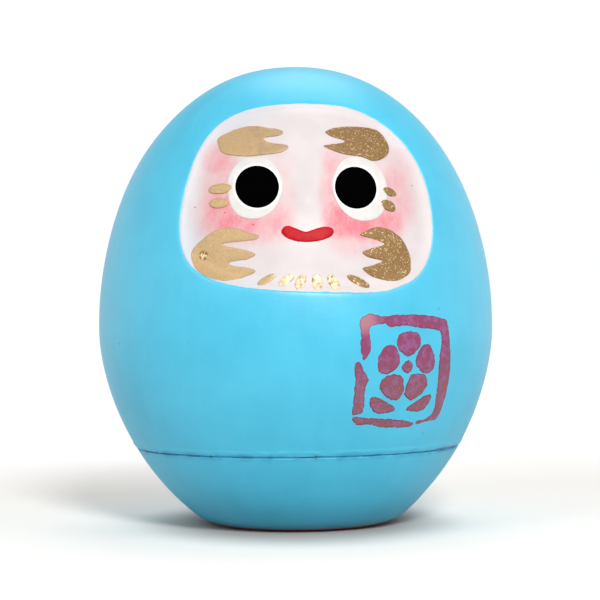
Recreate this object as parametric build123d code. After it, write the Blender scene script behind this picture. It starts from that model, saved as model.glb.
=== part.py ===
"""A daruma doll: a hollow papier-mache egg glued on a clay base weight.

The face lies in a shallow recess of the egg and is painted in layers, and a
square seal is stamped beside it. The frame is the doll's own: +Z is up, the
origin is the middle of its flat foot, and it faces -Y, so its left is at +X.
All sizes are in millimetres.
"""

import math
import os

from build123d import *

# The egg: two half curves of the superellipse kind, which meet at the widest ring.
HEIGHT = 90.0
WIDTH = 77.6
WIDEST_LEVEL = 38.0
CROWN_FULLNESS = 2.11  # 2 would be an ellipse, and more is fuller
FLANK_FULLNESS = 1.78
FLANK_DEPTH = 45.0  # the lower curve would end this far below the widest ring
FOOT_ROUNDING = 3.0
CURVE_STEPS = 8

# The shell, the base weight under it and the glue between them.
WALL = 1.8
JOINT_LEVEL = 15.3
GLUE_THICKNESS = 0.3
GLUE_SET_BACK = 0.35  # the glue stops this far inside the outer skin
SPIGOT_RADIUS = 28.2
SPIGOT_HEIGHT = 4.0
SPIGOT_WALL = 5.0
DISH_DEPTH = 5.5
STANDING = (Align.CENTER, Align.CENTER, Align.MIN)

# The face recess and its nose.
RECESS = 1.6
NOSE_LEVEL = 62.0
NOSE_HALF_WIDTH = 3.1
NOSE_HALF_HEIGHT = 4.2
NOSE_RISE = 1.2

# Paint, from the shell outwards.
GROUND_COAT = 0.20
COLOUR_COAT = 0.12
PUPIL_COAT = 0.12
INK_COAT = 0.08
REACH = 60.0  # how far the outlines are extruded, which is past the egg's front

FACE_OUTLINE = [
    (0.0, 80.8), (8.0, 80.2), (14.0, 77.8), (18.6, 73.9), (21.7, 69.0), (23.3, 63.5),
    (23.7, 57.0), (22.8, 52.2), (20.3, 48.3), (16.4, 46.3), (11.5, 45.3), (0.0, 45.5),
    (-9.0, 46.1), (-15.0, 47.1), (-19.4, 48.9), (-22.2, 52.0), (-23.2, 57.0), (-22.6, 62.5),
    (-21.2, 67.7), (-19.4, 72.2), (-16.4, 76.3), (-12.5, 78.9), (-7.5, 80.3),
]
EYE = (9.0, 64.75)
PUPIL_RADIUS = 3.95
EYE_WHITE_OUTLINE = [  # from the middle of the pupil, outer side positive
    (0.3, 5.9), (-2.5, 4.8), (-4.3, 1.5), (-4.1, -1.4), (-2.9, -4.0), (-0.9, -5.7),
    (1.4, -6.2), (4.0, -5.5), (5.6, -3.2), (6.0, 0.4), (5.2, 3.1), (3.2, 5.2),
]
BROW_LEFT_OUTLINE = [
    (3.5, 72.5), (4.9, 72.8), (6.3, 73.0), (7.3, 73.2), (7.6, 73.5), (7.0, 73.8),
    (5.5, 74.2), (4.4, 74.8), (4.1, 75.3), (5.6, 76.0), (8.6, 76.4), (11.8, 76.3),
    (14.2, 75.7), (15.5, 74.3), (16.2, 72.4), (15.7, 71.0), (14.2, 70.0), (12.4, 69.8),
    (10.6, 70.5), (8.1, 70.8), (6.0, 71.3), (4.6, 71.9),
]
BROW_RIGHT_OUTLINE = [
    (-3.0, 72.4), (-3.6, 72.8), (-5.0, 73.0), (-6.4, 73.3), (-7.3, 73.8), (-7.2, 74.2),
    (-5.8, 74.4), (-4.3, 74.7), (-3.8, 75.3), (-4.6, 75.8), (-6.4, 76.1), (-8.8, 76.6),
    (-11.4, 76.4), (-13.6, 75.6), (-15.7, 74.5), (-15.8, 73.2), (-15.1, 71.6), (-13.2, 71.0),
    (-10.6, 70.7), (-7.6, 70.9), (-5.0, 71.2), (-3.6, 71.7),
]
WHISKERS_LEFT_OUTLINE = [
    (9.5, 55.8), (11.1, 56.8), (13.0, 57.3), (15.1, 56.8), (17.1, 55.5), (18.5, 53.4),
    (19.1, 51.0), (18.9, 49.1), (17.6, 48.0), (15.9, 47.4), (13.6, 47.6), (11.4, 48.3),
    (9.8, 49.7), (11.4, 50.2), (12.9, 50.7), (13.5, 51.05), (12.8, 51.3), (11.0, 51.7),
    (9.8, 52.65), (11.5, 53.35), (13.3, 53.8), (14.0, 54.15), (13.4, 54.6), (11.6, 55.2),
]
WHISKERS_RIGHT_OUTLINE = [
    (-9.0, 55.9), (-10.9, 56.5), (-12.8, 57.2), (-14.8, 57.4), (-17.4, 56.6), (-19.4, 55.1),
    (-20.8, 53.6), (-21.1, 52.0), (-20.4, 50.1), (-18.6, 48.6), (-15.6, 47.8), (-13.2, 48.0),
    (-10.8, 48.7), (-9.7, 49.5), (-11.4, 50.1), (-13.4, 50.4), (-14.5, 50.9), (-13.4, 51.3),
    (-11.0, 51.6), (-9.6, 52.5), (-11.2, 53.2), (-13.6, 53.8), (-15.6, 54.3), (-14.4, 54.65),
    (-11.6, 54.9), (-9.5, 55.2),
]
MOUTH_OUTLINE = [
    (-4.9, 56.6), (-4.4, 57.4), (-3.5, 57.6), (-2.2, 57.1), (-0.6, 56.5), (0.7, 56.8),
    (1.6, 57.1), (3.1, 57.4), (4.3, 57.1), (4.6, 56.4), (4.1, 55.6), (2.4, 54.9),
    (0.2, 54.6), (-1.9, 54.7), (-3.6, 55.2), (-4.6, 55.9),
]
# Each mark is one touch of the brush: its middle, half length, half width and tilt.
TEMPLE_MARKS_LEFT = [(15.6, 63.9, 1.35, 0.72, -28.0), (15.2, 61.3, 1.5, 0.95, -32.0)]
TEMPLE_MARKS_RIGHT = [(-15.7, 64.7, 2.15, 0.95, 6.0), (-16.0, 62.0, 1.75, 0.95, 4.0)]
CHIN_MARKS = [
    (-7.7, 47.9, 1.9, 0.62, 27.0), (-4.2, 47.8, 1.65, 0.76, 34.0), (-1.7, 47.4, 1.5, 0.9, 58.0),
    (1.3, 47.3, 1.5, 0.95, -86.0), (4.3, 47.3, 1.55, 0.9, -58.0), (8.9, 47.4, 2.3, 0.72, -27.0),
]

# The seal lies on the tangent plane at its middle, as u to its right and w up.
SEAL_TURN = 29.5  # degrees from the front, towards the doll's left
SEAL_LEVEL = 31.0
SEAL_BAR_OUTLINES = [
    [  # over the top and down the right side
        (-10.0, 2.2), (-10.7, 3.8), (-10.7, 7.0), (-10.8, 9.4), (-8.9, 10.5), (-6.3, 10.0),
        (-2.8, 10.3), (2.0, 10.2), (6.8, 9.6), (8.6, 8.6), (9.3, 5.0), (9.9, 1.0),
        (10.1, -3.5), (9.1, -9.2), (6.2, -9.8), (3.1, -10.1), (3.1, -9.6), (6.0, -8.9),
        (7.3, -7.4), (7.1, -3.2), (6.7, 2.0), (7.0, 5.2), (6.2, 7.2), (2.0, 7.7),
        (-1.4, 8.2), (-4.8, 8.0), (-6.2, 8.6), (-8.9, 7.9), (-8.7, 5.2), (-8.9, 3.2),
    ],
    [  # the lower left side
        (-11.2, 2.2), (-10.7, 2.4), (-9.5, 0.2), (-8.6, -1.4), (-9.0, -3.6), (-8.6, -6.4),
        (-8.9, -7.6), (-10.5, -7.7), (-10.9, -4.4), (-11.2, -1.0),
    ],
    [  # the bottom
        (-10.2, -8.3), (-6.0, -8.6), (-1.0, -9.0), (2.7, -9.7), (2.3, -10.6), (-0.5, -10.6),
        (-3.5, -10.4), (-7.0, -9.7), (-9.2, -9.7),
    ],
]
BLOSSOM_MIDDLE = (-0.9, 0.7)
PETALS = 5
PETAL_OUTLINE = [  # one petal, which points up from the blossom's middle
    (0.0, 1.9), (1.3, 2.5), (2.7, 4.0), (2.3, 5.9), (0.6, 6.5),
    (-0.9, 6.4), (-2.4, 5.7), (-2.6, 3.9), (-1.2, 2.4),
]
BLOSSOM_CENTRE_RADIUS = 1.15
LEAF_OUTLINE = [  # the right-hand leaf, from the blossom's middle
    (1.3, -7.9), (2.9, -6.6), (6.4, -5.2), (6.6, -6.9), (4.7, -8.4),
]


def superellipse(turn, half_width, depth, fullness):
    """Radius, and height over the widest ring, of a half curve at a turn in radians."""
    power = 2 / fullness
    return half_width * math.cos(turn) ** power, depth * math.sin(turn) ** power


def egg(grow=0.0):
    """The egg as a solid, with its whole skin moved outwards by grow."""
    half_width = WIDTH / 2 + grow
    crown_depth = HEIGHT - WIDEST_LEVEL + grow
    flank_depth = FLANK_DEPTH + grow
    foot_turn = math.asin((WIDEST_LEVEL / flank_depth) ** (FLANK_FULLNESS / 2))
    crown, flank = [], []
    for step in range(CURVE_STEPS + 1):
        share = step / CURVE_STEPS
        radius, rise = superellipse(share * math.pi / 2, half_width, crown_depth, CROWN_FULLNESS)
        crown.append((radius, WIDEST_LEVEL + rise))
        radius, drop = superellipse(share * foot_turn, half_width, flank_depth, FLANK_FULLNESS)
        flank.append((radius, WIDEST_LEVEL - drop))
    top = (0.0, WIDEST_LEVEL + crown_depth)
    foot = (flank[-1][0], 0.0)
    crown[-1], flank[-1] = top, foot
    foot_slope = (flank[-1][0] - flank[-2][0], flank[-1][1] - flank[-2][1])
    outline = [
        Spline(*crown, tangents=[(0, 1), (-1, 0)]),
        Line(top, (0, 0)),
        Line((0, 0), foot),
        Spline(*flank, tangents=[(0, -1), foot_slope]),
    ]
    return revolve(Plane.XZ * make_face(outline), Axis.Z)


def patch(outline):
    """A flat face within one smooth closed outline."""
    return make_face(Spline(*outline, periodic=True))


def touch(x, z, half_length, half_width, tilt):
    """A flat face shaped like one touch of a pointed brush."""
    shape = Ellipse(half_length, half_width)
    return Pos(x, z) * Rot(0, 0, tilt) * shape


def prism(face):
    """A face drawn in X and Z, carried forwards through the front of the egg."""
    return extrude(Plane.XZ * face, REACH)


def body_shell(face):
    """The hollow egg, with the recess pressed into its front at the same wall."""
    size = face.bounding_box().size
    middle = Pos(0, face.center().Y)
    spread = (1 + 2 * WALL / size.X, 1 + 2 * WALL / size.Y, 1)
    back_of_face = middle * scale(middle.inverse() * face, by=spread)
    outside = egg() - (prism(face) - egg(-RECESS)) + nose()
    cavity = egg(-WALL) - (prism(back_of_face) - egg(-RECESS - WALL))
    low = JOINT_LEVEL + GLUE_THICKNESS / 2
    above = Pos(0, 0, low) * Cylinder(WIDTH, HEIGHT, align=STANDING)
    return (outside & above) - cavity


def nose(grow=0.0):
    """The nose as a low dome on the recess floor."""
    half_size = (NOSE_HALF_WIDTH + grow, NOSE_RISE + grow, NOSE_HALF_HEIGHT + grow)
    floor_depth = HEIGHT - WIDEST_LEVEL - RECESS
    turn = math.asin(((NOSE_LEVEL - WIDEST_LEVEL) / floor_depth) ** (CROWN_FULLNESS / 2))
    forwards, _ = superellipse(turn, WIDTH / 2 - RECESS, floor_depth, CROWN_FULLNESS)
    return Pos(0, -forwards, NOSE_LEVEL) * scale(Sphere(1.0), by=half_size)


def base_weight():
    """The clay weight: the egg's lower end, with a dished spigot inside the shell."""
    top = JOINT_LEVEL - GLUE_THICKNESS / 2
    weight = egg() & Cylinder(WIDTH, top, align=STANDING)
    foot_edge = weight.edges().filter_by(GeomType.CIRCLE).sort_by(Axis.Z)[0]
    weight = fillet(foot_edge, FOOT_ROUNDING)
    spigot = Pos(0, 0, top) * Cylinder(SPIGOT_RADIUS, SPIGOT_HEIGHT, align=STANDING)
    rim = SPIGOT_RADIUS - SPIGOT_WALL
    dish = Cone(rim - DISH_DEPTH, rim, DISH_DEPTH, align=STANDING)
    dish = Pos(0, 0, top + SPIGOT_HEIGHT - DISH_DEPTH) * dish
    return weight + spigot - dish


def glue_ring():
    """The line of glue between the shell's edge and the weight."""
    drop = (WIDEST_LEVEL - JOINT_LEVEL) / FLANK_DEPTH
    skin_radius = WIDTH / 2 * (1 - drop**FLANK_FULLNESS) ** (1 / FLANK_FULLNESS)
    ring = Cylinder(skin_radius - GLUE_SET_BACK, GLUE_THICKNESS, align=STANDING)
    hole = Cylinder(SPIGOT_RADIUS, GLUE_THICKNESS, align=STANDING)
    return Pos(0, 0, JOINT_LEVEL - GLUE_THICKNESS / 2) * (ring - hole)


def mirrored(outline):
    """An outline on the doll's other side."""
    return [(-x, z) for x, z in outline]


def seal_plane():
    """The tangent plane at the middle of the seal, seen from outside."""
    turn = math.radians(SEAL_TURN)
    across = (math.cos(turn), math.sin(turn), 0)
    outwards = (math.sin(turn), -math.cos(turn), 0)
    return Plane(origin=(0, 0, SEAL_LEVEL), x_dir=across, z_dir=outwards)


def main():
    floor = -RECESS
    ground_top = floor + GROUND_COAT
    colour_top = ground_top + COLOUR_COAT
    pupil_top = colour_top + PUPIL_COAT

    face = patch(FACE_OUTLINE)
    face_tool = prism(face)
    ground_layer = egg(ground_top) - egg(floor)
    colour_layer = (egg(colour_top) - egg(ground_top)) & face_tool
    pupil_layer = egg(pupil_top) - egg(colour_top)
    ink_layer = egg(INK_COAT) - egg()

    parts = {
        "body_shell": body_shell(face),
        "base_weight": base_weight(),
        "glue_ring": glue_ring(),
        "face_ground": (ground_layer + nose(GROUND_COAT) - egg(floor) - nose()) & face_tool,
    }
    gold = {
        "brow_left": [patch(BROW_LEFT_OUTLINE)],
        "brow_right": [patch(BROW_RIGHT_OUTLINE)],
        "whiskers_left": [patch(WHISKERS_LEFT_OUTLINE)],
        "whiskers_right": [patch(WHISKERS_RIGHT_OUTLINE)],
        "temple_marks_left": [touch(*mark) for mark in TEMPLE_MARKS_LEFT],
        "temple_marks_right": [touch(*mark) for mark in TEMPLE_MARKS_RIGHT],
        "chin_marks": [touch(*mark) for mark in CHIN_MARKS],
    }
    for name, faces in gold.items():
        parts[name] = Compound([colour_layer & prism(one) for one in faces])
    parts["mouth"] = colour_layer & prism(patch(MOUTH_OUTLINE))

    for side, sign in (("left", 1), ("right", -1)):
        middle = Pos(sign * EYE[0], EYE[1])
        outline = EYE_WHITE_OUTLINE if sign > 0 else mirrored(EYE_WHITE_OUTLINE)
        white = colour_layer & prism(middle * patch(outline))
        for name in (f"brow_{side}", f"temple_marks_{side}"):
            for one in gold[name]:
                white -= prism(one)
        parts[f"eye_white_{side}"] = white
        parts[f"pupil_{side}"] = pupil_layer & prism(middle * Circle(PUPIL_RADIUS))

    plane = seal_plane()
    middle = Pos(*BLOSSOM_MIDDLE)
    petals = [middle * Rot(0, 0, turn * 360 / PETALS) * patch(PETAL_OUTLINE) for turn in range(PETALS)]
    seal = {
        "seal_frame": [patch(outline) for outline in SEAL_BAR_OUTLINES],
        "seal_blossom": [*petals, middle * Circle(BLOSSOM_CENTRE_RADIUS)],
        "seal_leaves": [middle * patch(LEAF_OUTLINE), middle * patch(mirrored(LEAF_OUTLINE))],
    }
    for name, faces in seal.items():
        parts[name] = Compound([ink_layer & extrude(plane * one, REACH) for one in faces])

    os.makedirs("parts", exist_ok=True)
    for name, shape in parts.items():
        export_step(shape, f"parts/{name}.step")


main()
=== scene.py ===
import math

import bmesh
import bpy
from mathutils import Matrix, Vector, noise
from mathutils.geometry import interpolate_bezier
from mathutils.kdtree import KDTree


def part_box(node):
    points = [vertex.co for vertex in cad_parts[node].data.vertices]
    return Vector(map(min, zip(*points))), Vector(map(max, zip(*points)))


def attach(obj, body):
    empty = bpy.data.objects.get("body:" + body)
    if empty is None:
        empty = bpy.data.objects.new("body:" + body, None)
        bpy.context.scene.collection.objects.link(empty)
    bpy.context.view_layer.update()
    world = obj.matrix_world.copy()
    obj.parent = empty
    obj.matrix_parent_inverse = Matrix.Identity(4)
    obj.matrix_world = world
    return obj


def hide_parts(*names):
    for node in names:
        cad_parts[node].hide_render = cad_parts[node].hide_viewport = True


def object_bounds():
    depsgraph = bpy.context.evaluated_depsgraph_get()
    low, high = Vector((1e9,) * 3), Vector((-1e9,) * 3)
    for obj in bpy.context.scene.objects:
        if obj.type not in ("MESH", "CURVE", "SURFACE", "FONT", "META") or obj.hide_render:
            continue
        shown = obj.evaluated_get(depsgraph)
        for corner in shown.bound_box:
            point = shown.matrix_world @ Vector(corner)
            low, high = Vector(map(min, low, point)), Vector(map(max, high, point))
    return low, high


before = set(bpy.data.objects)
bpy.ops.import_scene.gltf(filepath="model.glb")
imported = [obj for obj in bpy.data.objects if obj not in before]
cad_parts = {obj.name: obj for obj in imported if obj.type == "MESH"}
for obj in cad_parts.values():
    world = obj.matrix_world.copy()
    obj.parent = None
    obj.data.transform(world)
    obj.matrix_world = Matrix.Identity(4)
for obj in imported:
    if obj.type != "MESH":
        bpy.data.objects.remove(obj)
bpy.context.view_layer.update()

# ---------------------------------------------------------------------------
# Paper shell
# The doll is a hollow egg of papier-mache, moulded over a form, with the face
# pressed into its front as a shallow dished recess. It is cut off level near
# the bottom, where it is glued on its weight, and sprayed a satin sky blue.
# ---------------------------------------------------------------------------

MM = 0.001
egg_low, egg_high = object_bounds()
EGG_HEIGHT = (egg_high.z - egg_low.z) / MM
EGG_RADIUS = (egg_high.x - egg_low.x) / 2 / MM
WIDEST_LEVEL = 38.0
CROWN_FULLNESS = 2.11
FLANK_FULLNESS = 1.78
FLANK_DEPTH = 45.0
SHELL_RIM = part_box("body_shell")[0].z / MM
WALL = 1.8

RECESS = 1.4
RECESS_FILLET = 3.0
RECESS_CREST = 0.35
NOSE = (0.0, 62.2)
NOSE_RISE = 0.5
NOSE_HALF_WIDTH = 3.5
NOSE_ABOVE = 4.8
NOSE_BELOW = 3.2

FACE_OUTLINE = [
    (0.0, 80.8), (8.0, 80.2), (14.0, 77.8), (18.6, 73.9), (21.7, 69.0), (23.3, 63.5),
    (23.7, 57.0), (22.8, 52.2), (20.3, 48.3), (16.4, 46.3), (11.5, 45.3), (0.0, 45.5),
    (-9.0, 46.1), (-15.0, 47.1), (-19.4, 48.9), (-22.2, 52.0), (-23.2, 57.0), (-22.6, 62.5),
    (-21.2, 67.7), (-19.4, 72.2), (-16.4, 76.3), (-12.5, 78.9), (-7.5, 80.3),
]


def skin_radius(level, lift=0.0):
    """Radius of the egg at a level, with its whole skin lifted outwards."""
    if level >= WIDEST_LEVEL:
        depth, fullness = EGG_HEIGHT - WIDEST_LEVEL + lift, CROWN_FULLNESS
    else:
        depth, fullness = FLANK_DEPTH + lift, FLANK_FULLNESS
    share = min(abs(level - WIDEST_LEVEL) / depth, 1.0)
    return (EGG_RADIUS + lift) * (1 - share**fullness) ** (1 / fullness)


def brush_line(corners, steps=8):
    """A closed list of corners, across and up, as one smooth line of many points."""
    points = [Vector((across, up)) for across, up in corners]
    line = []
    for here, point in enumerate(points):
        following = points[(here + 1) % len(points)]
        way_in = (following - points[here - 1]) / 6
        way_out = (points[(here + 2) % len(points)] - point) / 6
        line += interpolate_bezier(point, point + way_in, following - way_out, following, steps)[:-1]
    return line


face_line = brush_line(FACE_OUTLINE, 25)
face_edge = KDTree(len(face_line))
for number, point in enumerate(face_line):
    face_edge.insert((point.x, point.y, 0), number)
face_edge.balance()


def inside_face(across, up):
    """How far a point lies inside the face's outline, or outside it if negative."""
    nearest, number, distance = face_edge.find((across, up, 0))
    along = face_line[(number + 1) % len(face_line)] - face_line[number - 1]
    inwards = Vector((along.y, -along.x))
    return math.copysign(distance, inwards.dot(Vector((across, up)) - nearest.xy))


def sink(inside):
    """How deep the recess is at a distance inside the outline: a crest, then a long fillet."""
    inside = (inside + math.hypot(inside, RECESS_CREST)) / 2
    return RECESS * (1 - (1 - min(inside / RECESS_FILLET, 1)) ** 2.2)


def nose_rise(across, up):
    """How far the nose stands out of the recess at a point."""
    above = up - NOSE[1]
    reach = NOSE_ABOVE if above > 0 else NOSE_BELOW
    share = ((across - NOSE[0]) / NOSE_HALF_WIDTH) ** 2 + (above / reach) ** 2
    return NOSE_RISE * max(1 - share, 0) ** 2


def face_skin(across, up, lift=0.0):
    """The place on the doll's front that is seen at a point, lifted off it."""
    depth = sink(inside_face(across, up))
    reach = skin_radius(up, lift - depth)
    forwards = math.sqrt(max(reach**2 - across**2, 0)) + nose_rise(across, up)
    return Vector((across, -forwards, up))


def finish_piece(name, mesh, paint, slot, *nodes):
    """Turns a mesh drawn in millimetres into a piece that stands for those CAD nodes."""
    bmesh.ops.scale(mesh, vec=(MM, MM, MM), verts=mesh.verts)
    bmesh.ops.recalc_face_normals(mesh, faces=mesh.faces)
    for face in mesh.faces:
        face.smooth = True
    data = bpy.data.meshes.new(name)
    mesh.to_mesh(data)
    mesh.free()
    data.materials.append(paint)
    piece = bpy.data.objects.new(name, data)
    bpy.context.scene.collection.objects.link(piece)
    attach(piece, "root")
    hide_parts(*nodes)
    return piece


class Pigment:
    """One output in a paint's node tree. Python arithmetic on it adds Math nodes."""

    def __init__(self, tree, socket=None):
        self.tree = tree
        self.socket = socket

    def node(self, kind, settings=None, sockets=None, output=0):
        """Adds a node: its settings first, then the values or links of its sockets."""
        made = self.tree.nodes.new(kind)
        for name, value in (settings or {}).items():
            setattr(made, name, value)
        for name, value in (sockets or {}).items():
            if isinstance(value, Pigment):
                self.tree.links.new(value.socket, made.inputs[name])
            else:
                made.inputs[name].default_value = value
        return Pigment(self.tree, made.outputs[output])

    def maths(self, operation, first, second=0.0):
        return self.node("ShaderNodeMath", {"operation": operation}, {0: first, 1: second})

    def __add__(self, other):
        return self.maths("ADD", self, other)

    def __radd__(self, other):
        return self.maths("ADD", other, self)

    def __sub__(self, other):
        return self.maths("SUBTRACT", self, other)

    def __rsub__(self, other):
        return self.maths("SUBTRACT", other, self)

    def __mul__(self, other):
        return self.maths("MULTIPLY", self, other)

    def __rmul__(self, other):
        return self.maths("MULTIPLY", other, self)

    def __pow__(self, other):
        return self.maths("POWER", self, other)


def light_share(part):
    """A paint chart's 0 to 255 value as a share of light."""
    return ((part / 255 + 0.055) / 1.055) ** 2.4 if part > 10 else part / (255 * 12.92)


def rgb(red, green, blue):
    """A colour from a paint chart's 0 to 255 values, as the shaders count light."""
    return (light_share(red), light_share(green), light_share(blue), 1.0)


def ease(value, start, end):
    """A mask that goes smoothly from 0 at start to 1 at end."""
    if start < end:
        sockets = {"Value": value, "From Min": start, "From Max": end}
        return value.node("ShaderNodeMapRange", {"interpolation_type": "SMOOTHSTEP"}, sockets)
    return 1 - ease(value, end, start)


def coat(under, over, mask):
    """One colour over another where the mask is 1."""
    paint = mask if isinstance(mask, Pigment) else under
    sockets = {0: mask, 6: under, 7: over}
    return paint.node("ShaderNodeMix", {"data_type": "RGBA"}, sockets, output=2)


def grain(paint, size, detail=2.0, stretch=(1, 1, 1), roughness=0.5):
    """Noise whose lumps are about size millimetres, around 0.5, stretched along the axes."""
    place = paint.node("ShaderNodeTexCoord", output="Object")
    scale = tuple(1 / (size * MM * part) for part in stretch)
    place = paint.node("ShaderNodeMapping", {}, {"Vector": place, "Scale": scale})
    sockets = {"Vector": place, "Scale": 1.0, "Detail": detail, "Roughness": roughness}
    return paint.node("ShaderNodeTexNoise", {}, sockets)


def position(paint):
    """Across, back and up, in millimetres."""
    place = paint.node("ShaderNodeTexCoord", output="Object")
    place = place.node("ShaderNodeVectorMath", {"operation": "SCALE"}, {0: place, "Scale": 1 / MM})
    return [place.node("ShaderNodeSeparateXYZ", {}, {0: place}, output=axis) for axis in "XYZ"]


def new_paint(name, roughness=0.4, metallic=0.0, specular=0.5):
    """An empty paint and its shader."""
    material = bpy.data.materials.new(name)
    material.use_nodes = True
    shader = material.node_tree.nodes["Principled BSDF"]
    shader.inputs["Roughness"].default_value = roughness
    shader.inputs["Metallic"].default_value = metallic
    shader.inputs["Specular IOR Level"].default_value = specular
    return material, shader, Pigment(material.node_tree)


def brush_on(paint, shader, **looks):
    """Links what a paint works out to its shader: colour, roughness and relief."""
    sockets = {"colour": "Base Color", "roughness": "Roughness", "relief": "Normal"}
    for look, value in looks.items():
        if look == "relief":
            height, distance = value
            bump = {"Height": height, "Distance": distance * MM, "Strength": 1.0}
            value = paint.node("ShaderNodeBump", {}, bump)
        paint.tree.links.new(value.socket, shader.inputs[sockets[look]])


# Dark spots on the joint: painted shadow where its edge has chipped.
CHIPS = [(-27.8, 0.18), (-17.8, 0.2), (1.2, 0.28)]  # across and radius, on the joint
STREAK_START = 24.4
STREAK_END = 30.0


def sky_blue(name, joint_level, is_weight):
    """Satin sky blue, a little mottled, with fine specks; painted shade along the joint, and on the weight
    towards the foot.
    """
    material, shader, paint = new_paint(name, specular=1.0)
    across, back, up = position(paint)
    cloudy = grain(paint, 9.0, 2.0)
    streaky = grain(paint, 2.6, 3.0, (1, 1, 4))
    fine = grain(paint, 0.55, 2.0)
    tone = cloudy * 0.6 + streaky * 0.25 + fine * 0.15
    colour = coat(rgb(54, 183, 217), rgb(62, 190, 223), ease(tone, 0.36, 0.64))
    specks = paint.node(
        "ShaderNodeTexVoronoi", {"feature": "F1"},
        {"Vector": paint.node("ShaderNodeTexCoord", output="Object"), "Scale": 150.0}, output="Distance",
    )
    colour = coat(colour, rgb(20, 130, 175), ease(specks, 0.06, 0.02) * ease(cloudy, 0.5, 0.56) * 0.7)
    # Painted shade: the blue is darker in a band along the joint, where its groove lies in shade.
    below = ease(up, joint_level + 0.9, joint_level + 0.1) * ease(up, joint_level - 0.9, joint_level - 0.1)
    colour = coat(colour, rgb(20, 145, 186), below * ease(grain(paint, 3.0, 2.0), 0.4, 0.62) * 0.6)
    for middle, reach in CHIPS:
        away = ((across - middle) ** 2 + (up - joint_level) ** 2) ** 0.5
        colour = coat(colour, rgb(8, 58, 84), ease(away, reach, reach * 0.5) * ease(back, 0.0, -1.0))
    # Painted shade: a darker stretch of the joint, where the crack is widest.
    beside = (up - joint_level) ** 2
    streak = ease(across, STREAK_START, STREAK_START + 1.2) * ease(across, STREAK_END, STREAK_END - 1.0)
    streak = streak * ease(beside, 0.14, 0.03)
    colour = coat(colour, rgb(12, 104, 150), streak * 0.7)
    if is_weight:
        # Painted shade: the weight's blue darkens towards the foot, where it sits close to the floor.
        colour = coat(colour, rgb(20, 146, 176), ease(up, 9.0, 1.0) * 0.35)
        colour = coat(colour, rgb(206, 112, 100), ease(up + fine * 0.5, 1.1, 0.6))
    roughness = 0.36 + cloudy * 0.14
    relief = cloudy * 0.55 + grain(paint, 1.3, 2.0) * 0.2 + fine * 0.06
    brush_on(paint, shader, colour=colour, roughness=roughness, relief=(relief, 0.16))
    return material


CROWN_STEPS = 64
FLANK_STEPS = 48
TURN_STEPS = 240
JOINT_BAND = 1.4
FACE_BOTTOM = 42.0

shell = bmesh.new()
profile = []
for step in range(CROWN_STEPS + 1):
    turn = math.pi / 2 * (1 - step / CROWN_STEPS)
    up = WIDEST_LEVEL + (EGG_HEIGHT - WIDEST_LEVEL) * math.sin(turn) ** (2 / CROWN_FULLNESS)
    profile.append(shell.verts.new((skin_radius(up), 0, up)))
for step in range(1, FLANK_STEPS + 1):
    up = WIDEST_LEVEL + (SHELL_RIM - WIDEST_LEVEL) * math.sin(math.pi / 2 * step / FLANK_STEPS) ** 1.15
    profile.append(shell.verts.new((skin_radius(up), 0, up)))
edges = [shell.edges.new(pair) for pair in zip(profile, profile[1:])]
bmesh.ops.spin(
    shell, geom=profile + edges, cent=(0, 0, 0), axis=(0, 0, 1), dvec=(0, 0, 0),
    angle=math.tau, steps=TURN_STEPS, use_merge=True, use_duplicate=False,
)
bmesh.ops.remove_doubles(shell, verts=shell.verts, dist=0.001)


def refine(mesh, wanted):
    """Halves the faces whose middle the test wants."""
    edges = {edge for face in mesh.faces if wanted(face.calc_center_median()) for edge in face.edges}
    bmesh.ops.subdivide_edges(mesh, edges=list(edges), cuts=1, use_grid_fill=True)


def near_face_edge(place, outside, inside):
    """Whether a place on the egg is within these distances of the face's outline."""
    return place.y < 0 and -outside < inside_face(place.x, place.z) < inside and place.z > FACE_BOTTOM


for outside, inside in ((2.0, 4.0), (1.4, 3.2), (0.9, 1.5)):
    refine(shell, lambda place: near_face_edge(place, outside, inside))
for _ in range(2):
    refine(shell, lambda place: place.z < SHELL_RIM + JOINT_BAND)

LUMP_SIZE = 17.0
LUMP_HEIGHT = 0.16
LEAN = 0.6
LEAN_TOP = 26.0
CRUMBLE = 0.12
FADE_HEIGHT = 3.0
LIP_HEIGHT = 1.2
LIP_SWELL = 0.12


def lump(place):
    """The hand-made unevenness of the paper and clay."""
    return LUMP_HEIGHT * noise.noise(place / LUMP_SIZE)


def lean(level):
    """How far the handmade body leans to its left at a level, most at the foot."""
    return LEAN * max(1 - level / LEAN_TOP, 0) ** 1.4


def joint_gap(turn):
    """How far the edge of the joint has crumbled away at a turn round the doll."""
    ring = Vector((math.cos(turn), math.sin(turn), 0))
    crack = 0.5 + 0.5 * noise.noise(ring * 9) + 0.35 * noise.noise(ring * 31)
    return CRUMBLE * max(crack - 0.35, 0)


for vert in shell.verts:
    place = vert.co.copy()
    above = place.z - SHELL_RIM
    if place.y < 0 and place.z > FACE_BOTTOM and inside_face(place.x, place.z) > -2.0:
        vert.co = face_skin(place.x, place.z)
    outwards = Vector((place.x, place.y, 0.6 * (place.z - WIDEST_LEVEL))).normalized()
    fade = min(above / FADE_HEIGHT, 1)
    vert.co += outwards * lump(place) * fade
    vert.co.x += lean(place.z)
    if above < LIP_HEIGHT:
        turn = math.atan2(place.y, place.x)
        swell = math.sin(math.pi * min(max(above / LIP_HEIGHT, 0), 1))
        lip = LIP_SWELL * swell * (0.7 + noise.noise(place * 0.5))
        vert.co += Vector((place.x, place.y, 0)).normalized() * lip
        vert.co.z += joint_gap(turn) * (1 - above / LIP_HEIGHT)

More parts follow.
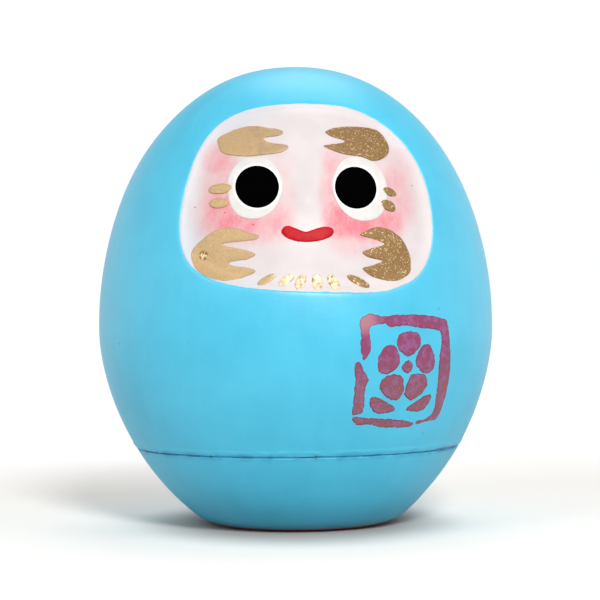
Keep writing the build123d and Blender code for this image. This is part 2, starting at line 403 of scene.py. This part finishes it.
INNER_LEVELS = [0.0, 1.0, 9.0, 22.0, 34.0, 44.0, 52.0, 58.0, 62.0, 66.0]  # above the rim
rim = [edge for edge in shell.edges if edge.is_boundary]
for level, inset in [(0.0, 0.5)] + [(level, WALL) for level in INNER_LEVELS]:
    grown = bmesh.ops.extrude_edge_only(shell, edges=rim)["geom"]
    rim = [item for item in grown if isinstance(item, bmesh.types.BMEdge) and item.is_boundary]
    for vert in {vert for edge in rim for vert in edge.verts}:
        outwards = Vector((vert.co.x, vert.co.y, 0)).normalized()
        up = SHELL_RIM + level + (vert.co.z - SHELL_RIM if level == 0 else 0)
        depth = RECESS if outwards.y < -0.25 and up > FACE_BOTTOM else 0.0
        vert.co = outwards * skin_radius(up, -inset - depth) + Vector((0, 0, up))
bmesh.ops.holes_fill(shell, edges=rim, sides=0)
material = sky_blue("sky_blue_on_paper", SHELL_RIM, False)
finish_piece("paper_shell", shell, material, "sky_blue_shell", "body_shell")

# ---------------------------------------------------------------------------
# Clay weight
# The bottom of the egg is a solid lump of clay that keeps the doll upright. It
# is turned with a dished spigot for the shell, and has the same blue coat down
# to the foot, where the brick-red undercoat shows as a thin line.
# ---------------------------------------------------------------------------

WEIGHT_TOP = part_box("glue_ring")[0].z / MM
SPIGOT_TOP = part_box("base_weight")[1].z / MM
FOOT_RADIUS = 15.4
FOOT_ROUNDING_LEVEL = 1.9
WEIGHT_STEPS = 26
SPIGOT_RADIUS = 28.2
DISH_RADIUS = 23.2
DISH_FLOOR = (17.7, SPIGOT_TOP - 5.5)
SHOULDER_INSET = 0.6
CHIP_DEPTH = 0.8

weight = bmesh.new()
profile = [(0, 0), (FOOT_RADIUS * 0.6, 0), (FOOT_RADIUS, 0)]
foot_skin = skin_radius(FOOT_ROUNDING_LEVEL)
start = Vector((FOOT_RADIUS, 0, 0))
end = Vector((foot_skin, 0, FOOT_ROUNDING_LEVEL))
slope = Vector((foot_skin - skin_radius(0.0), 0, FOOT_ROUNDING_LEVEL)).normalized()
foot_curve = interpolate_bezier(start, start + Vector((1.5, 0, 0)), end - slope * 1.1, end, 10)
profile += [(point.x, point.z) for point in foot_curve[1:]]
for step in range(1, WEIGHT_STEPS + 1):
    up = FOOT_ROUNDING_LEVEL + (WEIGHT_TOP - FOOT_ROUNDING_LEVEL) * step / WEIGHT_STEPS
    profile.append((skin_radius(up), up))
profile += [(skin_radius(WEIGHT_TOP) - SHOULDER_INSET, WEIGHT_TOP), (SPIGOT_RADIUS, WEIGHT_TOP)]
profile += [(SPIGOT_RADIUS, SPIGOT_TOP), (DISH_RADIUS, SPIGOT_TOP), DISH_FLOOR, (0, DISH_FLOOR[1])]
ring = [weight.verts.new((radius, 0, up)) for radius, up in profile]
edges = [weight.edges.new(pair) for pair in zip(ring, ring[1:])]
bmesh.ops.spin(
    weight, geom=ring + edges, cent=(0, 0, 0), axis=(0, 0, 1), dvec=(0, 0, 0),
    angle=math.tau, steps=TURN_STEPS, use_merge=True, use_duplicate=False,
)
bmesh.ops.remove_doubles(weight, verts=weight.verts, dist=0.001)
for _ in range(2):
    refine(weight, lambda place: WEIGHT_TOP - LIP_HEIGHT < place.z < WEIGHT_TOP + 0.1)
for vert in weight.verts:
    place = vert.co.copy()
    vert.co.x += lean(place.z)
    below = WEIGHT_TOP - place.z
    if place.xy.length > skin_radius(place.z) - 0.05 and below >= 0 and place.z > FOOT_ROUNDING_LEVEL:
        outwards = Vector((place.x, place.y, 0)).normalized()
        fade = min(below / FADE_HEIGHT, 1) * min((place.z - FOOT_ROUNDING_LEVEL) / 4, 1)
        vert.co += outwards * lump(place) * fade
        if below < CHIP_DEPTH:
            turn = math.atan2(place.y, place.x) + 3
            vert.co.z -= joint_gap(turn) * (1 - below / CHIP_DEPTH)
material = sky_blue("sky_blue_on_clay", WEIGHT_TOP, True)
finish_piece("clay_weight", weight, material, "blue_clay", "base_weight")

# ---------------------------------------------------------------------------
# Glue line
# A thin line of animal glue holds the shell on the weight. The paint has cracked
# along it, so it shows from outside as a fine dark line of uneven width.
# ---------------------------------------------------------------------------

GLUE_LOW, GLUE_HIGH = [corner.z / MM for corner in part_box("glue_ring")]
JOINT_LEVEL = (GLUE_LOW + GLUE_HIGH) / 2
GLUE_RADIUS = skin_radius(JOINT_LEVEL) - 0.14
GLUE_BULGE = 0.08

glue = bmesh.new()
profile = [(SPIGOT_RADIUS, GLUE_LOW), (GLUE_RADIUS, GLUE_LOW), (GLUE_RADIUS + GLUE_BULGE, JOINT_LEVEL)]
profile += [(GLUE_RADIUS, GLUE_HIGH), (SPIGOT_RADIUS, GLUE_HIGH)]
ring = [glue.verts.new((radius, 0, up)) for radius, up in profile]
edges = [glue.edges.new((ring[n - 1], ring[n])) for n in range(len(ring))]
bmesh.ops.spin(
    glue, geom=ring + edges, cent=(0, 0, 0), axis=(0, 0, 1), dvec=(0, 0, 0),
    angle=math.tau, steps=TURN_STEPS, use_merge=True, use_duplicate=False,
)
bmesh.ops.translate(glue, vec=(lean(JOINT_LEVEL), 0, 0), verts=glue.verts)
material, shader, paint = new_paint("dried_glue", roughness=0.6)
colour = coat(rgb(12, 104, 150), rgb(26, 150, 194), ease(grain(paint, 5.0), 0.42, 0.56))
brush_on(paint, shader, colour=colour)
finish_piece("glue_line", glue, material, "glue", "glue_ring")

# ---------------------------------------------------------------------------
# White ground of the face
# The recess is brushed with a smooth white ground, and the cheeks and the eye
# sockets are airbrushed pink over it, in soft clouds round the eyes.
# ---------------------------------------------------------------------------


FILM_KEY = 0.05  # how far a film reaches into what it lies on
SHAKE_PITCH = 1.3  # how closely a ragged edge wanders


def on_face(under):
    """A skin for films that lie on this thickness of paint on the face."""
    return lambda across, up, lift: face_skin(across, up, under + lift)


def laid_film(corners, thickness, place, spacing=0.8, ragged=0.0, edge=0.22, steps=8):
    """A patch of paint: its outline filled, given a rounded edge, and laid on a surface.

    place(across, up, lift) gives the surface. The rim attribute is 1 at the patch's very edge
    and 0 inside it.
    """
    film = bmesh.new()
    rim_share = film.verts.layers.float.new("rim")
    line = brush_line(corners, steps)
    if ragged:
        shakes = [noise.noise_vector(Vector((point.x, point.y, 0)) * SHAKE_PITCH).xy for point in line]
        line = [point + ragged * shake for point, shake in zip(line, shakes)]
    flat = film.faces.new([film.verts.new((point.x, 0, point.y)) for point in line])
    flat.normal_update()
    if flat.normal.y > 0:
        flat.normal_flip()
    for share, rise in ((0.35, 0.65), (0.65, 0.35)):
        bmesh.ops.inset_individual(
            film, faces=[flat], thickness=edge * share, depth=thickness * rise, use_even_offset=True
        )
    for vert in film.verts:
        vert[rim_share] = 1 - (-vert.co.y / thickness)
    low = Vector(map(min, zip(*(vert.co for vert in film.verts))))
    high = Vector(map(max, zip(*(vert.co for vert in film.verts))))
    for axis in (0, 2):
        direction = Vector((axis == 0, 0, axis == 2))
        for step in range(1, int((high[axis] - low[axis]) / spacing) + 1):
            everything = film.verts[:] + film.edges[:] + film.faces[:]
            cut = low + direction * spacing * step
            bmesh.ops.bisect_plane(film, geom=everything, dist=0.0001, plane_co=cut, plane_no=direction)
    front = bmesh.ops.extrude_face_region(film, geom=film.faces[:])["geom"]
    front = {item for item in front if isinstance(item, bmesh.types.BMVert)}
    for vert in film.verts:
        lift = -vert.co.y if vert in front else -FILM_KEY
        vert.co = place(vert.co.x, vert.co.z, lift)
    return film


GROUND_COAT = 0.13

ground = laid_film(FACE_OUTLINE, GROUND_COAT, face_skin, spacing=0.6, edge=0.6, steps=12)
BLUSH = [  # across, up, half width, half height, strength
    (-15.2, 65.0, 4.4, 7.5, 0.4), (-15.0, 59.6, 5.8, 4.8, 0.43), (-8.6, 58.3, 6.2, 3.8, 0.32),
    (-4.4, 61.5, 3.0, 6.5, 0.3), (-15.8, 71.0, 3.8, 3.4, 0.28), (-5.0, 69.5, 3.6, 3.0, 0.2),
    (-12.0, 56.0, 8.0, 3.8, 0.24), (7.4, 58.6, 4.8, 3.6, 0.6), (12.8, 57.9, 5.0, 3.4, 0.56),
    (4.6, 63.0, 2.7, 7.0, 0.46), (5.4, 70.4, 3.2, 3.0, 0.3), (16.2, 61.0, 4.4, 6.6, 0.34),
    (8.5, 55.0, 5.6, 3.8, 0.36), (6.3, 57.8, 2.6, 2.6, 0.36), (15.6, 69.0, 4.8, 4.2, 0.22),
    (18.4, 65.0, 3.8, 7.0, 0.17),
]
SPECKS = [  # across, up, radius, colour
    (-20.3, 61.4, 0.17, rgb(150, 52, 48)), (-15.0, 60.2, 0.22, rgb(205, 70, 80)),
    (-9.9, 57.9, 0.3, rgb(222, 90, 100)), (20.2, 65.2, 0.17, rgb(150, 98, 70)),
]
material, shader, paint = new_paint("white_ground_and_blush", roughness=0.48, specular=0.35)
across, _, up = position(paint)
cloud = 1.0
for middle_across, middle_up, half_width, half_height, strength in BLUSH:
    reach = ((across - middle_across) * (1 / half_width)) ** 2
    reach = reach + ((up - middle_up) * (1 / half_height)) ** 2
    cloud = cloud * (1 - ease(reach, 1.7, 0.0) * strength)
mottle = grain(paint, 1.5, 4.0, (1, 1, 2.2), 0.65) * 0.7 + grain(paint, 0.3, 1.0) * 0.3
pink = ease((1 - cloud) * (0.2 + mottle * 1.6), 0.0, 1.0)
white = coat(rgb(209, 199, 199), rgb(214, 205, 205), ease(grain(paint, 6.0), 0.35, 0.65))
# Painted shade: the white greys towards the outline on the doll's right side.
shaded_border = (across * (1 / 23.5)) ** 2 + ((up - 62.5) * (1 / 17.5)) ** 2
white = coat(white, rgb(198, 202, 209), ease(shaded_border, 0.6, 1.05) * ease(across, 2.0, -14.0) * 0.8)
colour = coat(white, rgb(222, 116, 127), pink)
for middle_across, middle_up, reach, shade in SPECKS:
    away = ((across - middle_across) ** 2 + (up - middle_up) ** 2) ** 0.5
    colour = coat(colour, shade, ease(away, reach, reach * 0.4))
brush_on(paint, shader, colour=colour, relief=(grain(paint, 2.2, 2.0) + mottle * 0.2, 0.06))
finish_piece("face_ground", ground, material, "white_ground", "face_ground")

# ---------------------------------------------------------------------------
# Eyes
# Each eye is a flat oval of pure white with a round black pupil, painted on top
# of the ground. The pupils are wished on and painted in last, so they are apart.
# ---------------------------------------------------------------------------

EYE_WHITE_OUTLINE = [  # from the middle of the pupil, outer side positive
    (0.3, 5.9), (-2.5, 4.8), (-4.3, 1.5), (-4.1, -1.4), (-2.9, -4.0), (-0.9, -5.7),
    (1.4, -6.2), (4.0, -5.5), (5.6, -3.2), (6.0, 0.4), (5.2, 3.1), (3.2, 5.2),
]
PUPIL_RADIUS = 3.95
PUPILS = {"left": (9.1, 64.6), "right": (-9.0, 64.9)}
EYE_COAT = 0.1
EYE_WHITE_FIT = {"left": (1.0, 0.0), "right": (0.96, -0.4)}  # its size, and its shift outwards

material, shader, paint = new_paint("eye_white", roughness=0.45)
colour = coat(rgb(212, 209, 204), rgb(218, 215, 210), ease(grain(paint, 2.0), 0.35, 0.65))
across, _, up = position(paint)
for middle_across, middle_up in PUPILS.values():
    away = ((across - middle_across) ** 2 + (up - middle_up) ** 2) ** 0.5
    colour = coat(colour, rgb(238, 238, 238), ease(away, PUPIL_RADIUS + 0.5, PUPIL_RADIUS + 0.3))
brush_on(paint, shader, colour=colour, relief=(grain(paint, 0.9), 0.03))
black, shader, paint = new_paint("pupil_black", roughness=0.6, specular=0.0)
brush_on(paint, shader, colour=coat(rgb(1, 1, 1), rgb(4, 4, 4), grain(paint, 0.8)))
for side, (middle_across, middle_up) in PUPILS.items():
    outwards = 1 if side == "left" else -1
    size, shift = EYE_WHITE_FIT[side]
    outline = [
        (middle_across + outwards * (x * size + shift), middle_up + z * size) for x, z in EYE_WHITE_OUTLINE
    ]
    film = laid_film(outline, EYE_COAT, on_face(GROUND_COAT), spacing=0.7)
    finish_piece(f"eye_white_{side}", film, material, "eye_white", f"eye_white_{side}")
    corners = [(math.cos(math.tau * n / 12), math.sin(math.tau * n / 12)) for n in range(12)]
    outline = [(middle_across + PUPIL_RADIUS * x, middle_up + PUPIL_RADIUS * z) for x, z in corners]
    film = laid_film(outline, EYE_COAT, on_face(GROUND_COAT + EYE_COAT), spacing=0.7)
    finish_piece(f"pupil_{side}", film, black, "pupil_black", f"pupil_{side}")

# ---------------------------------------------------------------------------
# Gold brush marks
# The brows, the whiskers on the cheeks, the touches beside the eyes and the
# dashes on the chin are brushed on in gold size with bright flakes in it.
# ---------------------------------------------------------------------------

BROW_LEFT_OUTLINE = [
    (3.5, 72.5), (4.9, 72.8), (6.3, 73.0), (7.3, 73.2), (7.6, 73.5), (7.0, 73.8),
    (5.5, 74.2), (4.4, 74.8), (4.1, 75.3), (5.6, 76.0), (8.6, 76.4), (11.8, 76.3),
    (14.2, 75.7), (15.5, 74.3), (16.2, 72.4), (15.7, 71.0), (14.2, 70.0), (12.4, 69.8),
    (10.6, 70.5), (8.1, 70.8), (6.0, 71.3), (4.6, 71.9),
]
BROW_RIGHT_OUTLINE = [
    (-3.0, 72.4), (-3.6, 72.8), (-5.0, 73.0), (-6.4, 73.3), (-7.3, 73.8), (-7.2, 74.2),
    (-5.8, 74.4), (-4.3, 74.7), (-3.8, 75.3), (-4.6, 75.8), (-6.4, 76.1), (-8.8, 76.6),
    (-11.4, 76.4), (-13.6, 75.6), (-15.7, 74.5), (-15.8, 73.2), (-15.1, 71.6), (-13.2, 71.0),
    (-10.6, 70.7), (-7.6, 70.9), (-5.0, 71.2), (-3.6, 71.7),
]
WHISKERS_LEFT_OUTLINE = [
    (9.5, 55.8), (11.1, 56.8), (13.0, 57.3), (15.1, 56.8), (17.1, 55.5), (18.5, 53.4),
    (19.1, 51.0), (18.9, 49.1), (17.6, 48.0), (15.9, 47.4), (13.6, 47.6), (11.4, 48.3),
    (9.8, 49.7), (11.4, 50.2), (12.9, 50.7), (13.5, 51.05), (12.8, 51.3), (11.0, 51.7),
    (9.8, 52.65), (11.5, 53.35), (13.3, 53.8), (14.0, 54.15), (13.4, 54.6), (11.6, 55.2),
]
WHISKERS_RIGHT_OUTLINE = [
    (-9.0, 55.9), (-10.9, 56.5), (-12.8, 57.2), (-14.8, 57.4), (-17.4, 56.6), (-19.4, 55.1),
    (-20.8, 53.6), (-21.1, 52.0), (-20.4, 50.1), (-18.6, 48.6), (-15.6, 47.8), (-13.2, 48.0),
    (-10.8, 48.7), (-9.7, 49.5), (-11.4, 50.1), (-13.4, 50.4), (-14.5, 50.9), (-13.4, 51.3),
    (-11.0, 51.6), (-9.6, 52.5), (-11.2, 53.2), (-13.6, 53.8), (-15.6, 54.3), (-14.4, 54.65),
    (-11.6, 54.9), (-9.5, 55.2),
]
# Each touch of the brush: its middle, half length, half width and tilt.
TEMPLE_MARKS_LEFT = [(15.6, 63.9, 1.35, 0.72, -28.0), (15.2, 61.3, 1.5, 0.95, -32.0)]
TEMPLE_MARKS_RIGHT = [(-15.7, 64.7, 2.15, 0.95, 6.0), (-16.0, 62.0, 1.75, 0.95, 4.0)]
CHIN_MARKS = [
    (-7.7, 47.9, 1.9, 0.62, 27.0), (-4.2, 47.8, 1.65, 0.76, 34.0), (-1.7, 47.4, 1.5, 0.9, 58.0),
    (1.3, 47.3, 1.5, 0.95, -86.0), (4.3, 47.3, 1.55, 0.9, -58.0), (8.9, 47.4, 2.3, 0.72, -27.0),
]
GOLD_COAT = 0.12
GLINTING_FLAKE = (-18.9, 52.4)


def brush_touch(middle_across, middle_up, half_length, half_width, tilt):
    """The outline of one touch of a pointed brush."""
    slant = Matrix.Rotation(math.radians(tilt), 2)
    outline = []
    for number in range(12):
        turn = math.tau * number / 12
        point = slant @ Vector((half_length * math.cos(turn), half_width * math.sin(turn)))
        outline.append((middle_across + point.x, middle_up + point.y))
    return outline


gold, shader, paint = new_paint("gold_size", roughness=0.5, metallic=0.35)
across, _, up = position(paint)
sparkle = paint.node(
    "ShaderNodeTexVoronoi", {"feature": "F1"},
    {"Vector": paint.node("ShaderNodeTexCoord", output="Object"), "Scale": 4600.0}, output="Color",
)
flake = paint.node("ShaderNodeSeparateColor", {}, {0: sparkle}, output="Red")
shaded_left_half = ease(across, -3.0, 3.0)
from_middle = across.maths("ABSOLUTE", across)
thin = ease(from_middle, 12.5, 8.0) * ease(grain(paint, 1.6), 0.3, 0.7)
# Painted light and shade: the doll's left half of the gold is painted darker bronze with more flakes, its
# right half lighter tan, as the lamps fall on it.
colour = coat(rgb(198, 166, 121), rgb(148, 114, 68), shaded_left_half)
colour = coat(colour, rgb(168, 138, 124), thin * (0.5 - shaded_left_half * 0.4))
colour = coat(colour, rgb(116, 84, 46), ease(flake, 0.35, 0.05) * (0.12 + shaded_left_half * 0.38))
colour = coat(colour, rgb(250, 224, 168), ease(flake, 0.84, 0.98) * (0.12 + shaded_left_half * 0.4))
# Painted highlight: one flake on the doll's right whisker is painted as a bright glint in a darker ring.
away = ((across - GLINTING_FLAKE[0]) ** 2 + (up - GLINTING_FLAKE[1]) ** 2) ** 0.5
colour = coat(colour, rgb(140, 106, 60), ease(away, 1.0, 0.7) * ease(grain(paint, 0.7), 0.42, 0.5))
colour = coat(colour, rgb(240, 218, 166), ease(away, 0.7, 0.4) * ease(grain(paint, 0.5), 0.45, 0.52))
glint = ease(from_middle, 7.5, 5.0) * ease(up, 49.8, 49.0) * ease(grain(paint, 0.9), 0.3, 0.6)
colour = coat(colour, rgb(240, 229, 190), glint * 0.8)
roughness = 0.55 - ease(flake, 0.6, 1.0) * 0.2
relief = flake * 0.5 + grain(paint, 0.8)
brush_on(paint, shader, colour=colour, roughness=roughness, relief=(relief, 0.035))

gold_marks = {
    "brow_left": [BROW_LEFT_OUTLINE],
    "brow_right": [BROW_RIGHT_OUTLINE],
    "whiskers_left": [WHISKERS_LEFT_OUTLINE],
    "whiskers_right": [WHISKERS_RIGHT_OUTLINE],
    "temple_marks_left": [brush_touch(*mark) for mark in TEMPLE_MARKS_LEFT],
    "temple_marks_right": [brush_touch(*mark) for mark in TEMPLE_MARKS_RIGHT],
    "chin_marks": [brush_touch(*mark) for mark in CHIN_MARKS],
}


def gather(films):
    """Several films as one mesh."""
    whole = films[0]
    for film in films[1:]:
        spare = bpy.data.meshes.new("spare")
        film.to_mesh(spare)
        film.free()
        whole.from_mesh(spare)
        bpy.data.meshes.remove(spare)
    return whole


def over_eye_white(across, up, lift):
    """The skin for marks that run over an eye white: raised over it, but keyed to the ground."""
    return face_skin(across, up, GROUND_COAT + lift + (EYE_COAT if lift > 0 else 0.0))


for name, outlines in gold_marks.items():
    skin = over_eye_white if "brow" in name or "temple" in name else on_face(GROUND_COAT)
    films = [laid_film(outline, GOLD_COAT, skin, 0.7, ragged=0.07, edge=0.16) for outline in outlines]
    finish_piece(name, gather(films), gold, "gold", name)

# ---------------------------------------------------------------------------
# Mouth
# One short stroke of thick coral-red paint, smiling, with a slight gloss.
# ---------------------------------------------------------------------------

MOUTH_OUTLINE = [
    (-4.9, 56.6), (-4.4, 57.4), (-3.5, 57.6), (-2.2, 57.1), (-0.6, 56.5), (0.7, 56.8),
    (1.6, 57.1), (3.1, 57.4), (4.3, 57.1), (4.6, 56.4), (4.1, 55.6), (2.4, 54.9),
    (0.2, 54.6), (-1.9, 54.7), (-3.6, 55.2), (-4.6, 55.9),
]
MOUTH_COAT = 0.14

material, shader, paint = new_paint("coral_red", roughness=0.42, specular=0.08)
colour = coat(rgb(178, 14, 26), rgb(190, 28, 38), ease(grain(paint, 1.5), 0.4, 0.65))
brush_on(paint, shader, colour=colour, relief=(grain(paint, 1.0), 0.05))
film = laid_film(MOUTH_OUTLINE, MOUTH_COAT, on_face(GROUND_COAT), spacing=0.6)
finish_piece("mouth", film, material, "mouth_red", "mouth")

# ---------------------------------------------------------------------------
# Seal
# A square seal is stamped on the doll's left in purple-rose ink: a hand-cut
# frame round a plum blossom. The ink has taken unevenly on the curved skin.
# ---------------------------------------------------------------------------

SEAL_TURN = math.radians(29.5)
SEAL_LEVEL = 31.0
SEAL_BAR_OUTLINES = [
    [  # over the top and down the right side
        (-10.0, 2.2), (-10.7, 3.8), (-10.7, 7.0), (-10.8, 9.4), (-8.9, 10.5), (-6.3, 10.0),
        (-2.8, 10.3), (2.0, 10.2), (6.8, 9.6), (8.6, 8.6), (9.3, 5.0), (9.9, 1.0),
        (10.1, -3.5), (9.1, -9.2), (6.2, -9.9), (3.8, -10.3), (3.2, -9.9), (3.8, -9.4),
        (6.0, -8.9), (7.3, -7.4), (7.1, -3.2), (6.7, 2.0), (7.0, 5.2), (6.2, 7.2), (2.0, 7.7),
        (-1.4, 8.2), (-4.8, 8.0), (-6.2, 8.6), (-8.9, 7.9), (-8.7, 5.2), (-8.9, 3.2),
    ],
    [  # the lower left side
        (-11.5, 0.4), (-11.4, 1.5), (-10.9, 1.9), (-10.3, 1.4), (-9.6, 0.1), (-8.6, -1.4),
        (-9.0, -3.6), (-8.6, -6.4), (-8.9, -7.6), (-10.5, -7.7), (-10.9, -4.4), (-11.2, -1.0),
    ],
    [  # the bottom
        (-10.2, -8.3), (-6.0, -8.6), (-1.0, -9.0), (2.7, -9.7), (2.3, -10.6), (-0.5, -10.6),
        (-3.5, -10.4), (-7.0, -9.7), (-9.2, -9.7),
    ],
]
BLOSSOM_MIDDLE = (-0.9, 0.7)
PETALS = 5
PETAL_OUTLINE = [
    (0.0, 1.9), (1.3, 2.5), (2.7, 4.0), (2.3, 5.9), (0.6, 6.5),
    (-0.9, 6.4), (-2.4, 5.7), (-2.6, 3.9), (-1.2, 2.4),
]
BLOSSOM_CENTRE_RADIUS = 1.15
LEAF_OUTLINE = [(1.3, -7.9), (2.9, -6.6), (6.4, -5.2), (6.6, -6.9), (4.7, -8.4)]
INK_COAT = 0.05
FAINT_CORNER = (9.8, 40.3)  # where the frame's upper corner took least ink


def seal_skin(across, up, lift):
    """The place on the egg under a point of the seal, which faces outwards at its own turn."""
    level = SEAL_LEVEL + up
    outwards = math.sqrt(skin_radius(level, lift) ** 2 - across**2)
    place = Matrix.Rotation(SEAL_TURN, 3, "Z") @ Vector((across, -outwards, level))
    return place + place.normalized() * lump(place)


def moved(outline, turn=0.0, middle=BLOSSOM_MIDDLE, flip=1):
    """An outline turned about the blossom's middle."""
    slant = Matrix.Rotation(turn, 2)
    points = [slant @ Vector((flip * x, z)) for x, z in outline]
    return [(point.x + middle[0], point.y + middle[1]) for point in points]


ink, shader, paint = new_paint("seal_ink", roughness=0.5)
across, _, up = position(paint)
rim_mask = paint.node("ShaderNodeAttribute", {"attribute_name": "rim"}, output="Fac")
patchy = grain(paint, 1.3, 3.0)
grit = grain(paint, 0.45, 2.0, (1, 1, 1), 0.7)
colour = coat(rgb(138, 80, 90), rgb(138, 58, 100), ease(up, 26.0, 36.0))
colour = coat(colour, rgb(148, 96, 146), ease(patchy, 0.46, 0.62) * 0.55)
colour = coat(colour, rgb(116, 40, 68), ease(grit, 0.56, 0.7) * 0.6)
corner = ((across - FAINT_CORNER[0]) ** 2 + (up - FAINT_CORNER[1]) ** 2) ** 0.5
colour = coat(colour, rgb(188, 130, 140), ease(corner, 3.6, 0.8) * 0.7)
colour = coat(colour, rgb(112, 22, 40), ease(rim_mask, 0.05, 0.4) * 0.9)
brush_on(paint, shader, colour=colour)
kept = ease(grit - rim_mask * 0.2, 0.27, 0.29)
paint.tree.links.new(kept.socket, shader.inputs["Alpha"])

seal_marks = {
    "seal_frame": SEAL_BAR_OUTLINES,
    "seal_blossom": [moved(PETAL_OUTLINE, math.tau * petal / PETALS) for petal in range(PETALS)]
    + [moved(brush_touch(0, 0, BLOSSOM_CENTRE_RADIUS, BLOSSOM_CENTRE_RADIUS, 0))],
    "seal_leaves": [moved(LEAF_OUTLINE), moved(LEAF_OUTLINE, flip=-1)],
}
for name, outlines in seal_marks.items():
    films = [laid_film(outline, INK_COAT, seal_skin, ragged=0.2, edge=0.26) for outline in outlines]
    finish_piece(name, gather(films), ink, "seal_ink", name)

# ---------------------------------------------------------------------------
# Studio
# A pale floor and a white room, a soft key light low in front, weaker lights at
# each side and one behind. The camera sees the floor and room as white, but the
# doll is lit by a greyer floor and room, so that its colours are not washed out.
# A soft shadow round the doll's foot is painted into the floor's colour.
# ---------------------------------------------------------------------------

scene = bpy.context.scene
scene.view_settings.view_transform = "Standard"

FLOOR_REACH = 6.0
FLOOR_GLOW = 1.05
floor = bmesh.new()
bmesh.ops.create_grid(floor, x_segments=1, y_segments=1, size=FLOOR_REACH)
data = bpy.data.meshes.new("studio_floor")
floor.to_mesh(data)
floor.free()
material, shader, paint = new_paint("floor_white", roughness=0.9, specular=0.0)
across, back, _ = position(paint)
seen = paint.node("ShaderNodeLightPath", output="Is Camera Ray")
cloth = coat(rgb(45, 45, 45), rgb(214, 213, 211), ease(back, -260.0, -130.0))
cloth = coat(cloth, rgb(250, 246, 241), seen)
# Painted shadow: the floor is darkened in a soft ring round the doll's foot, both as the camera sees it
# and as it bounces light.
painted_shadow_reach = ((across * 1.3) ** 2 + back**2) ** 0.5
cloth = coat(cloth, coat(rgb(150, 146, 143), rgb(150, 141, 134), seen), ease(painted_shadow_reach, 46.0, 22.0) * 0.75)
glow = ease(back, 60.0, 200.0)
brush_on(paint, shader, colour=coat(cloth, rgb(0, 0, 0), glow))
shine = coat(rgb(0, 0, 0), rgb(255, 255, 255), glow)
paint.tree.links.new(shine.socket, shader.inputs["Emission Color"])
shader.inputs["Emission Strength"].default_value = FLOOR_GLOW
data.materials.append(material)
stage = bpy.data.objects.new("studio_floor", data)
scene.collection.objects.link(stage)

WALL_BEHIND = 1.05
CEILING_BEHIND = 0.45
CEILING_IN_FRONT = 0.15
WALL_IN_FRONT = 0.65
ROOM_IN_SIGHT = 1.02
world = bpy.data.worlds.new("white_room")
world.use_nodes = True
room = Pigment(world.node_tree)
facing = room.node("ShaderNodeTexCoord", output="Generated")
side, back, height = [room.node("ShaderNodeSeparateXYZ", {}, {0: facing}, output=axis) for axis in "XYZ"]
behind = WALL_BEHIND + ease(height, 0.2, 0.5) * (CEILING_BEHIND - WALL_BEHIND)
in_front = WALL_IN_FRONT - ease(height, 0.4, 0.65) * (WALL_IN_FRONT - CEILING_IN_FRONT)
facing_front = ease(side * 0.05 - back, -0.1, 0.6)
bright = behind + (in_front - behind) * facing_front
in_sight = room.node("ShaderNodeLightPath", output="Is Camera Ray")
bright = bright + (ROOM_IN_SIGHT - bright) * in_sight
backdrop = world.node_tree.nodes["Background"]
backdrop.inputs["Color"].default_value = (1, 1, 1, 1)
world.node_tree.links.new(bright.socket, backdrop.inputs["Strength"])
scene.world = world

SOFT_LIGHTS = [  # name, turn to the viewer's right, elevation, distance, size, power
    ("key_light", 13.0, 31.0, 0.9, 0.22, 5.9),
    ("left_light", -48.0, 36.0, 0.9, 0.4, 1.3),
    ("right_light", 62.0, 35.0, 0.9, 0.4, 1.0),
    ("back_light", 172.0, 60.0, 0.8, 0.5, 1.2),
]
AIM = Vector((0, 0, 0.045))
for name, turn, elevation, distance, size, power in SOFT_LIGHTS:
    lamp = bpy.data.lights.new(name, "AREA")
    lamp.shape = "DISK"
    lamp.size = size
    lamp.energy = power
    light = bpy.data.objects.new(name, lamp)
    around = Matrix.Rotation(math.radians(turn - 4.0), 3, "Z")
    way = around @ Vector((0, -math.cos(math.radians(elevation)), math.sin(math.radians(elevation))))
    light.location = AIM + way * distance
    light.rotation_euler = (-way).to_track_quat("-Z", "Y").to_euler()
    scene.collection.objects.link(light)

CAMERA_DISTANCE = 0.4
CAMERA_TURN = math.radians(-4.0)
CAMERA_HEIGHT = 0.0456
CAMERA_LENS = 121.0
CAMERA_TILT = -0.004
CAMERA_ROLL = -0.0107
CAMERA_AIM_OFF = 0.0022

lens = bpy.data.cameras.new("camera")
lens.lens = CAMERA_LENS
lens.sensor_width = 36.0
lens.clip_start = 0.01
camera = bpy.data.objects.new("camera", lens)
camera.location = Matrix.Rotation(CAMERA_TURN, 3, "Z") @ Vector((0, -CAMERA_DISTANCE, CAMERA_HEIGHT))
look = Matrix.Rotation(CAMERA_TURN - CAMERA_AIM_OFF, 4, "Z")
look = look @ Matrix.Rotation(math.pi / 2 + CAMERA_TILT, 4, "X")
camera.rotation_euler = (look @ Matrix.Rotation(CAMERA_ROLL, 4, "Z")).to_euler()
scene.collection.objects.link(camera)
scene.camera = camera
